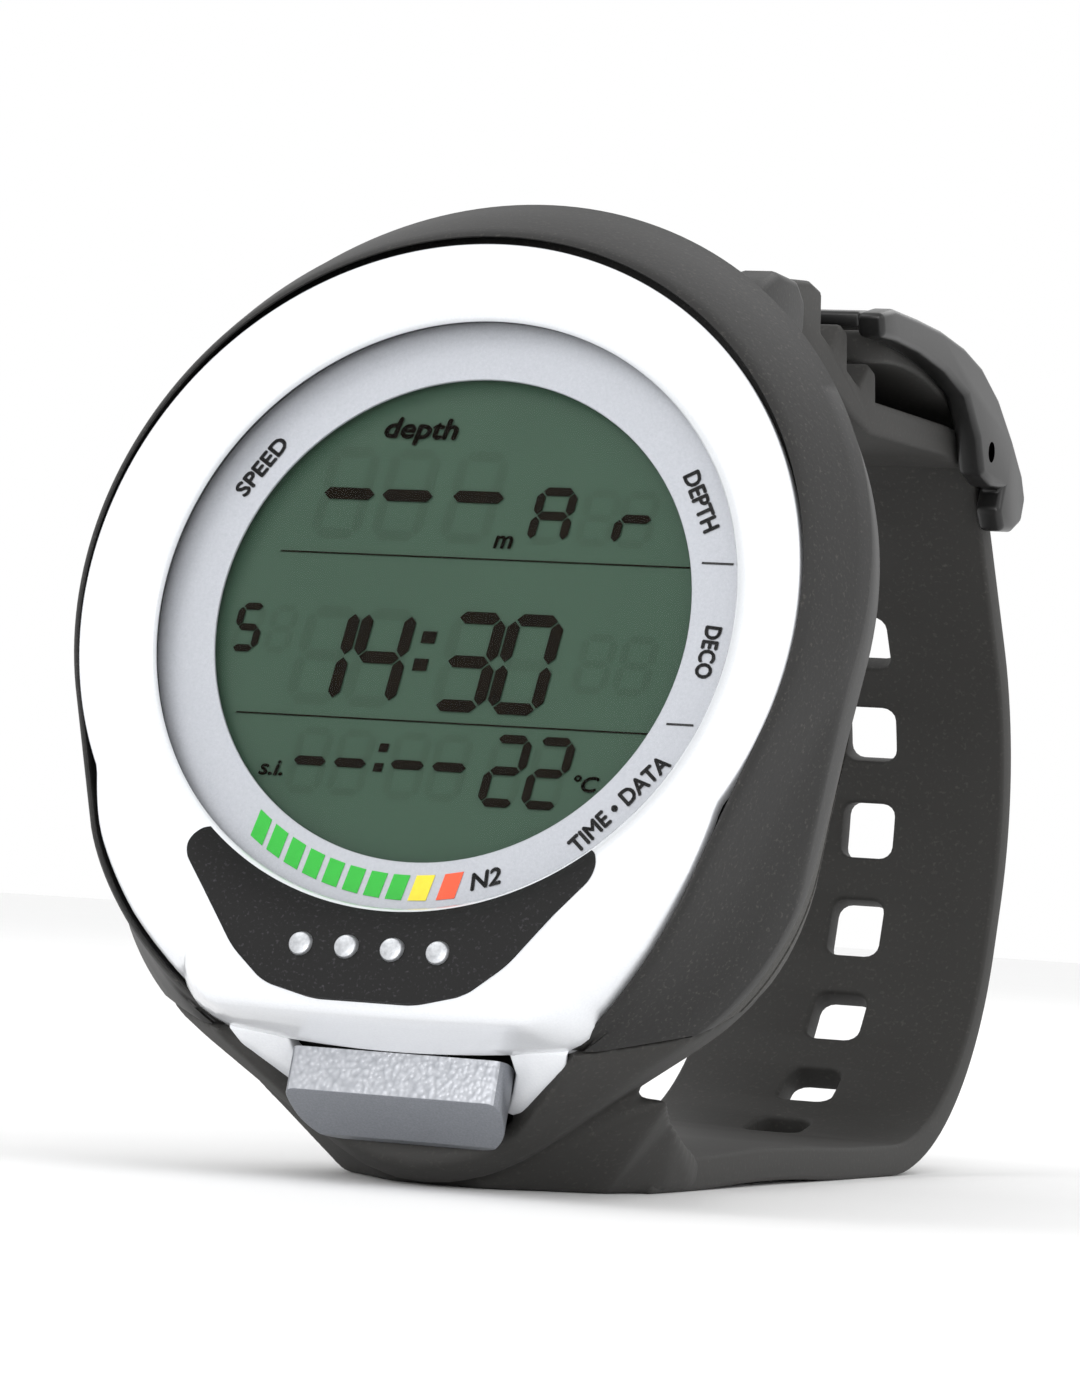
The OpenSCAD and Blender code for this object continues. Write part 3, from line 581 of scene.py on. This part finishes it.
LIT = ((("1", -14.2, -7.7), ("4", -9.1, -7.7), ("3", -1.1, -7.7), ("0", 4.0, -7.7)), 4.9, 8.7, 1.05), \
      ((("5", -20.0, -3.4),), 2.5, 4.3, 0.62), \
      ((("A", 5.0, 7.1), ("r", 12.4, 7.1)), 3.6, 5.0, 0.75), \
      ((("2", 4.6, -15.6), ("2", 8.4, -15.6)), 3.5, 6.2, 0.75)
GHOSTS = ((("8", -14.2, -7.7), ("8", -9.1, -7.7), ("8", -1.1, -7.7), ("8", 4.0, -7.7)), 4.9, 8.7, 1.05), \
         ((("8", -20.0, -3.4), ("8", -17.0, -3.4)), 2.5, 4.3, 0.62), \
         ((("8", 5.0, 7.1), ("8", 9.2, 7.1), ("8", 12.6, 7.1)), 3.3, 5.0, 0.7), \
         ((("8", 4.6, -15.6), ("8", 8.4, -15.6), ("8", -12.8, -15.4), ("8", -9.0, -15.4), ("8", -4.0, -15.4),
           ("8", -0.3, -15.4)), 3.3, 5.8, 0.7), \
         ((("8", 11.0, -5.6), ("8", 14.6, -5.6)), 3.2, 5.2, 0.7), \
         ((("8", -14.6, 6.9), ("8", -9.1, 6.9), ("8", -2.9, 6.9)), 4.6, 8.2, 0.95)

segments = bmesh.new()
ghosts = bmesh.new()
for groups, bm, high in ((LIT, segments, LCD_Z + 0.15), (GHOSTS, ghosts, LCD_Z + 0.008)):
    for signs, wide, tall, thick in groups:
        for sign, left, foot in signs:
            digit(bm, sign, left, foot, wide, tall, thick, high)
high = LCD_Z + 0.15
for x0, x1, y, thick in ((-13.8, -9.2, 10.9, 1.05), (-8.5, -3.9, 10.9, 1.05), (-2.1, 2.5, 11.0, 1.05),
                         (-12.2, -9.3, -12.55, 0.8), (-8.6, -5.7, -12.55, 0.8), (-3.5, -0.5, -12.45, 0.8),
                         (0.2, 3.2, -12.45, 0.8)):
    t = thick / 2
    plate(((x0, y), (x0 + t, y + t), (x1 - t, y + t), (x1, y), (x1 - t, y - t), (x0 + t, y - t)), high - 0.04, high, 0,
          axis="z", extra=segments)
for x, y, wide, tall in ((-2.1, -1.4, 1.25, 1.05), (-2.45, -3.8, 1.25, 1.05), (-4.4, -11.1, 0.8, 0.75),
                         (-4.6, -12.8, 0.8, 0.75)):
    block(segments, x, y, wide, tall, high)
lettering(segments, "depth", (-5.95, 16.6), 6.7, 2.5, slant=0.2, high=high, bold=0.09)
lettering(segments, "m", (3.1, 7.15), 1.7, 1.15, slant=0.2, high=high, bold=0.05)
lettering(segments, "s.i.", (-14.1, -13.35), 2.2, 1.35, slant=0.2, high=high, bold=0.05)
lettering(segments, "°C", (13.9, -13.2), 2.2, 1.45, slant=0.2, high=high, bold=0.05)
for y, x0, x1 in ((5.62, -16.9, 20.4), (-8.68, -18.3, 18.9)):
    block(segments, (x0 + x1) / 2, y, x1 - x0, 0.13, LCD_Z + 0.1)
# Lit segments: liquid crystal turned dark, nearly black with a brown cast, at the top of the glass.
crystal, shader = finish("dark_liquid_crystal", Roughness=0.5, Specular_IOR_Level=0.05)
spot = add(crystal, "TexCoord").outputs["Object"]
cloud = add(crystal, "TexNoise", {"Vector": spot, "Scale": 800})
mix = add(crystal, "Mix", {"Factor": cloud.outputs["Fac"], "A": colour("#0a0703"), "B": colour("#171108")},
          data_type="RGBA")
crystal.node_tree.links.new(mix.outputs["Result"], shader.inputs["Base Color"])
piece("display_segments", segments, "watch", "lcd", crystal)
# Unlit segments: only a shade darker than the glass.
unlit, shader = finish("unlit_liquid_crystal", Roughness=0.3, Specular_IOR_Level=0.2)
spot = add(unlit, "TexCoord").outputs["Object"]
cloud = add(unlit, "TexNoise", {"Vector": spot, "Scale": 60, "Detail": 2})
mix = add(unlit, "Mix", {"Factor": cloud.outputs["Fac"], "A": colour("#324739"), "B": colour("#3a5041")},
          data_type="RGBA")
unlit.node_tree.links.new(mix.outputs["Result"], shader.inputs["Base Color"])
piece("display_unlit", ghosts, "watch", "lcd", unlit)


# ---- lens ----
# A flat pane of clear polycarbonate with a hard coat, held down on a rubber gasket by the bezel.

clear, shader = finish("hard_coated_polycarbonate", Roughness=0.03, IOR=1.58, Alpha=0.05)
shader.inputs["Base Color"].default_value = colour("#05080a")
spot = add(clear, "TexCoord").outputs["Object"]
smear = add(clear, "TexNoise", {"Vector": spot, "Scale": 150, "Detail": 2})
bump = add(clear, "Bump", {"Height": smear.outputs["Fac"], "Distance": 0.000005, "Strength": 0.1})
clear.node_tree.links.new(bump.outputs["Normal"], shader.inputs["Normal"])
clear.surface_render_method = "BLENDED"
paint("lens", clear)
# Black nitrile rubber for every seal: dull, with a faint bloom.
nitrile = grained("black_nitrile_rubber", ("#1b1b1b", "#222222"), "#343434", 0.5, 0.3, 0.6, 0.01)
for seal in ("lens_seal", "back_seal", "sensor_seal", "button_seal", "battery_seal"):
    paint(seal, nitrile)


# ---- button ----
# One wide push button at 6 o'clock: an ABS cap sprayed satin silver, with a leathery grain on top
# and a smooth slanted front. It rides on a steel rod with an O-ring and a return spring.

CAP = ((-9.5, -4.4), (9.5, -4.4), (9.5, -6.6), (8.9, -8.6), (6.9, -10.6), (-6.9, -10.6), (-8.9, -8.6), (-9.5, -6.6))
cap = plate(CAP, -35.9, -42, 0, axis="y")
sides = [e for e in cap.edges if abs(e.verts[0].co.y - e.verts[1].co.y) > 1]
bmesh.ops.bevel(cap, geom=sides, offset=1, segments=5, profile=0.5, affect="EDGES", clamp_overlap=True, material=-1)
cut_off(cap, (0, -39.5, -4.4), Vector((0, -5, 2.4)).normalized(), 1.2, 6)
for face in cap.faces:
    face.material_index = int(face.normal.z > 0.8)
# Painted shade: the sides and the slanted front carry the same silver paint as the top, drawn much darker where they
# turn from the light.
satin, shader = finish("satin_silver_with_painted_shade", Metallic=0.45, Roughness=0.36)
spot = add(satin, "TexCoord").outputs["Object"]
flake = add(satin, "TexNoise", {"Vector": spot, "Scale": 6000, "Detail": 2})
mix = add(satin, "Mix", {"Factor": flake.outputs["Fac"], "A": colour("#6c6f75"), "B": colour("#8e9197")},
          data_type="RGBA")
satin.node_tree.links.new(mix.outputs["Result"], shader.inputs["Base Color"])
# The cap's top has a leathery mould grain with cells of about 0.35 mm under the same paint, drawn lighter than the
# painted shade on the sides and front.
leather, shader = finish("grained_silver_paint", Metallic=0.35, Roughness=0.42)
spot = add(leather, "TexCoord").outputs["Object"]
cells = add(leather, "TexVoronoi", {"Vector": spot, "Scale": 2600}, feature="SMOOTH_F1")
mix = add(leather, "Mix", {"Factor": cells.outputs["Distance"], "A": colour("#c0c2c7"), "B": colour("#8f9298")},
          data_type="RGBA")
leather.node_tree.links.new(mix.outputs["Result"], shader.inputs["Base Color"])
bump = add(leather, "Bump", {"Height": cells.outputs["Distance"], "Distance": 0.00012, "Strength": 0.7})
leather.node_tree.links.new(bump.outputs["Normal"], shader.inputs["Normal"])
piece("button_top", cap, "button", "button", satin, leather, replaces=("button_cap",))

# Stainless steel, turned or drawn: fine lines 0.1 mm apart that soften its shine.
steel, shader = finish("drawn_stainless_steel", Metallic=1, Roughness=0.28)
spot = add(steel, "TexCoord").outputs["Object"]
lines = add(steel, "TexNoise", {"Vector": spot, "Scale": 2500, "Detail": 3})
mix = add(steel, "Mix", {"Factor": lines.outputs["Fac"], "A": colour("#a9abad"), "B": colour("#d3d5d7")},
          data_type="RGBA")
steel.node_tree.links.new(mix.outputs["Result"], shader.inputs["Base Color"])
bump = add(steel, "Bump", {"Height": lines.outputs["Fac"], "Distance": 0.000004, "Strength": 0.4})
steel.node_tree.links.new(bump.outputs["Normal"], shader.inputs["Normal"])
spring = bmesh.new()
bmesh.ops.create_circle(spring, segments=10, radius=0.25, matrix=Matrix.Translation((2.5, -35.6, -8)))
bmesh.ops.spin(spring, geom=spring.verts[:] + spring.edges[:], cent=(0, 0, -8), axis=(0, 1, 0),
               dvec=(0, 3.8 / 120, 0), angle=math.radians(5 * 360), steps=120, use_merge=False)
bmesh.ops.holes_fill(spring, edges=[e for e in spring.edges if e.is_boundary], sides=10)
bmesh.ops.recalc_face_normals(spring, faces=spring.faces)
coil = piece("return_spring", spring, "watch", "steel", steel, replaces=("button_spring",))
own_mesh(coil)
for metal in ("button_rod", "button_clip", "back_screws", "lower_pin", "upper_pin", "buckle_pin",
              "port_filter", "pressure_sensor"):
    paint(metal, steel)


# ---- long strap ----
# One moulding of dark polyurethane rubber. Its thick end wraps the lower half of the case and is
# held by a steel pin; the 28 mm band runs round under the wrist and ends in a row of nine holes.

LEAN, DROP, STRAP_T, STRAP_HALF = 15, 46.8, 3, 14
RUN = ((8, 0), (11, 2), (24, -4), (11, 2), (11.2, 0), (29 * math.radians(75), 75), (5, 0),
       (32 * math.radians(48), 48), (21.8, 0), (13.5 * math.radians(42), 42), (3, 0), (58 * math.radians(20), 20),
       (4, 0))


def floor_at(z):
    return (-DROP - z * math.sin(math.radians(LEAN))) / math.cos(math.radians(LEAN))


def step_on(at, heading, length, turn):
    """The place and heading after a straight, or after an arc that turns so many degrees."""
    h, t = math.radians(heading), math.radians(turn)
    if abs(turn) < 0.001:
        return Vector((at[0] + length * math.cos(h), at[1] + length * math.sin(h))), heading
    r = length / t
    return at + r * Vector((math.sin(h + t) - math.sin(h), math.cos(h) - math.cos(h + t))), heading + turn


def on_strap(s, inside):
    """The y and z of a point so far along the band, and so deep below its outer face."""
    at, heading = Vector((floor_at(-30), -30)), LEAN - 90
    for length, turn in RUN:
        if s <= length:
            break
        at, heading = step_on(at, heading, length, turn)
        s -= length
    at, heading = step_on(at, heading, s, turn * s / length)
    h = math.radians(heading)
    return at + inside * Vector((-math.sin(h), math.cos(h)))


RUN_LENGTH = sum(part[0] for part in RUN)
band = bmesh.new()
bmesh.ops.create_cube(band, size=1, matrix=Matrix.Translation((0, RUN_LENGTH / 2, STRAP_T / 2))
                      @ Matrix.Diagonal((2 * STRAP_HALF, RUN_LENGTH, STRAP_T, 1)))
ends = [e for e in band.edges if all(v.co.y > 1 for v in e.verts) and abs(e.verts[0].co.x - e.verts[1].co.x) < 0.1
        and abs(e.verts[0].co.z - e.verts[1].co.z) > 1]
bmesh.ops.bevel(band, geom=ends, offset=5, segments=8, profile=0.5, affect="EDGES", material=-1)
punch = bmesh.new()
for i in range(9):
    middle = 157.6 - i * 10.7
    plate(((-2.7, middle - 3), (2.7, middle - 3), (2.7, middle + 3), (-2.7, middle + 3)), -2, STRAP_T + 2, 0, axis="z",
          extra=punch)
uprights = [e for e in punch.edges if abs(e.verts[0].co.z - e.verts[1].co.z) > 1]
bmesh.ops.bevel(punch, geom=uprights, offset=1.3, segments=4, profile=0.5, affect="EDGES", material=-1)


def as_object(name, bm):
    mesh = bpy.data.meshes.new(name)
    bm.to_mesh(mesh)
    bm.free()
    obj = bpy.data.objects.new(name, mesh)
    bpy.context.scene.collection.objects.link(obj)
    return obj


def baked(obj):
    """The mesh of an object with its modifiers applied; the object itself is thrown away."""
    bm = bmesh.new()
    bm.from_object(obj, bpy.context.evaluated_depsgraph_get())
    bpy.data.objects.remove(obj)
    return bm


flat_band, punches = as_object("flat_band", band), as_object("punches", punch)
cutter = flat_band.modifiers.new("holes", "BOOLEAN")
cutter.object, cutter.operation, cutter.solver = punches, "DIFFERENCE", "EXACT"
band = baked(flat_band)
bpy.data.objects.remove(punches)
rounded(band, 0.45, segments=3)
for i in range(1, int(RUN_LENGTH / 1.6)):
    bmesh.ops.bisect_plane(band, geom=band.verts[:] + band.edges[:] + band.faces[:], dist=0.0005,
                           plane_co=(0, i * 1.6, 0), plane_no=(0, 1, 0))
for v in band.verts:
    v.co.yz = on_strap(min(v.co.y, RUN_LENGTH), v.co.z)
# Polyurethane rubber from a matt mould: dark warm grey, a bloom of fine dust and a soft grain of 0.2 mm.
rubber = grained("matt_polyurethane_rubber", ("#272624", "#2d2c2a"), "#403e3b", 0.4, 0.3, 0.7, 0.02)
piece("strap_band", band, "watch", "strap", rubber, smooth=40)

# The thick end keeps the CAD form, with the soft edges of a rubber moulding.
boot = bmesh.new()
boot.from_mesh(frame["nodes"]["long_strap"].data)
bmesh.ops.transform(boot, matrix=WATCH.inverted(), verts=boot.verts)
bmesh.ops.remove_doubles(boot, verts=boot.verts, dist=0.002)
bmesh.ops.bisect_plane(boot, geom=boot.verts[:] + boot.edges[:] + boot.faces[:], dist=0.0005, plane_co=(0, 0, -41),
                       plane_no=(0, 0, -1), clear_outer=True)
bmesh.ops.bisect_plane(boot, geom=boot.verts[:] + boot.edges[:] + boot.faces[:], dist=0.0005, plane_co=(0, 10, 0),
                       plane_no=(0, 1, 0), clear_outer=True)
bmesh.ops.holes_fill(boot, edges=boot.edges)
boot_obj = as_object("boot", boot)
net = boot_obj.modifiers.new("net", "REMESH")
net.mode, net.voxel_size = "VOXEL", 0.42
soft = boot_obj.modifiers.new("soft", "SMOOTH")
soft.factor, soft.iterations = 0.5, 14
piece("strap_boot", baked(boot_obj), "watch", "strap", rubber, replaces=("long_strap",), smooth=60)


# ---- short strap ----
# The 12 o'clock half of the strap: the same rubber, with a bellows that gives under water and a
# tube at its end for the buckle's pin, split in the middle for the tongue.

SHORT = ((33.8, -17), (36, -14), (41.8, -28), (44, -34), (44.3, -37.2), (41, -38.6), (40.8, -42), (43.6, -43.2),
         (43.6, -45.4), (40.6, -46.8), (40.4, -50.6), (43.2, -52), (43.2, -54.4), (40.8, -55.6), (46.4, -76.5),
         (47.4, -81), (47.2, -82.6), (44.2, -82.6), (43.6, -77.4), (37.6, -56), (37.2, -50), (37.8, -38), (37, -31),
         (34.4, -26), (33.8, -23))
short = plate(SHORT, -14, 14, 0.5)
tube = Matrix.Translation((0, 45.8, -82)) @ Matrix.Rotation(math.radians(90), 4, "Y")
for low, high in ((-14, -1.6), (1.6, 14)):
    bmesh.ops.create_cone(short, cap_ends=True, segments=40, radius1=1.65, radius2=1.65, depth=high - low,
                          matrix=Matrix.Translation(((low + high) / 2, 0, 0)) @ tube)
short_obj = as_object("short", short)
slot_bm = plate(((40, -95), (52, -95), (52, -79.4), (40, -79.4)), -1.5, 1.5, 0)
slot_obj = as_object("slot", slot_bm)
cutter = short_obj.modifiers.new("slot", "BOOLEAN")
cutter.object, cutter.operation, cutter.solver = slot_obj, "DIFFERENCE", "EXACT"
short = baked(short_obj)
bpy.data.objects.remove(slot_obj)
piece("strap_bellows", short, "watch", "strap", rubber, replaces=("short_strap",), smooth=40)


# ---- buckle ----
# A frame buckle of glass-filled nylon with a smooth skin: two curved arms, a low bar that the
# tongue rests on and a flat bridge at the top, all on one steel pin.

ARM_OUT = ((45.6, -45.6), (47.4, -49), (49.2, -56), (50.8, -63), (51.9, -70), (52.2, -76), (51.4, -82),
           (49.4, -88), (47.4, -92.6), (45.6, -94.6), (43, -94.4))
ARM_IN = ((41.2, -92), (40.2, -89), (41.6, -87), (44, -87.4), (43, -84), (43, -80.6), (45.6, -78), (48, -73),
          (47.8, -66), (46.6, -58), (45, -51), (43.8, -47))
frame_bm = bmesh.new()
for side in (-1, 1):
    plate(ARM_OUT + ARM_IN, side * 15.6 - 1.3, side * 15.6 + 1.3, 0, extra=frame_bm)
rounded(frame_bm, 0.6, segments=4)
bmesh.ops.create_cone(frame_bm, cap_ends=True, segments=40, radius1=1.6, radius2=1.6, depth=29.4,
                      matrix=Matrix.Translation((0, 45.6, -92.9)) @ Matrix.Rotation(math.radians(90), 4, "Y"))
bridge = plate(((44.6, -46.4), (45.8, -45.8), (47.2, -49), (45.4, -49.6)), -14.6, 14.6, 0.35)
bridge_mesh = bpy.data.meshes.new("bridge")
bridge.to_mesh(bridge_mesh)
bridge.free()
frame_bm.from_mesh(bridge_mesh)
# Black nylon with a smooth skin that a hand has polished: a soft sheen and faint flow marks.
smooth_nylon = grained("smooth_black_nylon", ("#101010", "#151515"), "#1f1e1e", 0.8, 0.3, 0.36, 0.008)
piece("buckle_loop", frame_bm, "buckle", "buckle", smooth_nylon, replaces=("buckle_frame",), smooth=40)

TONGUE = ((44.6, -83.2), (47.5, -82.6), (48.4, -88), (48.3, -94.6), (47.3, -95), (47.25, -91), (46.2, -86.5))
tongue = plate(TONGUE, -1.2, 1.2, 0.3)
bmesh.ops.create_cone(tongue, cap_ends=True, segments=40, radius1=1.6, radius2=1.6, depth=2.4, matrix=tube)
piece("buckle_tooth", tongue, "tongue", "buckle", smooth_nylon, replaces=("buckle_tongue",), smooth=40)


# ---- back ----
# The back cover is the case's nylon, held by four socket screws, with a coin-slotted battery
# cover in the middle, a pressure port under a pierced filter and two gold contacts for a cable.

paint("back_cover", nylon_edge)
paint("battery_cover", smooth_nylon)
gold, shader = finish("gold_plated_brass", Metallic=1, Roughness=0.25)
spot = add(gold, "TexCoord").outputs["Object"]
rub = add(gold, "TexNoise", {"Vector": spot, "Scale": 1500, "Detail": 2})
mix = add(gold, "Mix", {"Factor": rub.outputs["Fac"], "A": colour("#b58f45"), "B": colour("#e2c273")},
          data_type="RGBA")
gold.node_tree.links.new(mix.outputs["Result"], shader.inputs["Base Color"])
for metal in ("data_contacts", "battery_plus", "battery_minus"):
    paint(metal, gold)
paint("battery", steel)


# ---- electronics ----
# What sits behind the glass: a white nylon frame and light guide for the display, two striped
# rubber connectors, and a green board with its chips, switch and buzzer.

white_nylon = grained("white_moulded_nylon", ("#dcdcd6", "#e4e4de"), "#f0f0ec", 0.5, 0.3, 0.5, 0.01)
paint("lcd_frame", white_nylon)
acrylic = grained("frosted_acrylic_guide", ("#dfe6dd", "#e9efe7"), "#f7faf5", 0.4, 0.3, 0.3, 0.01)
paint("light_guide", acrylic)
solder_mask = grained("green_solder_mask", ("#164a2c", "#1f5a38"), "#2c6c48", 0.6, 0.3, 0.35, 0.01)
paint("circuit_board", solder_mask)
epoxy = grained("black_epoxy_package", ("#202124", "#292a2d"), "#3a3b3f", 0.2, 0.3, 0.5, 0.01)
for chip in ("board_chips", "buzzer", "tact_switch"):
    paint(chip, epoxy)
zebra, shader = finish("striped_silicone_connector", Roughness=0.5)
spot = add(zebra, "TexCoord").outputs["Object"]
stripes = add(zebra, "TexWave", {"Vector": spot, "Scale": 1500}, bands_direction="X")
mix = add(zebra, "Mix", {"Factor": stripes.outputs["Fac"], "A": colour("#2a2022"), "B": colour("#cf7384")},
          data_type="RGBA")
zebra.node_tree.links.new(mix.outputs["Result"], shader.inputs["Base Color"])
paint("zebra_strips", zebra)
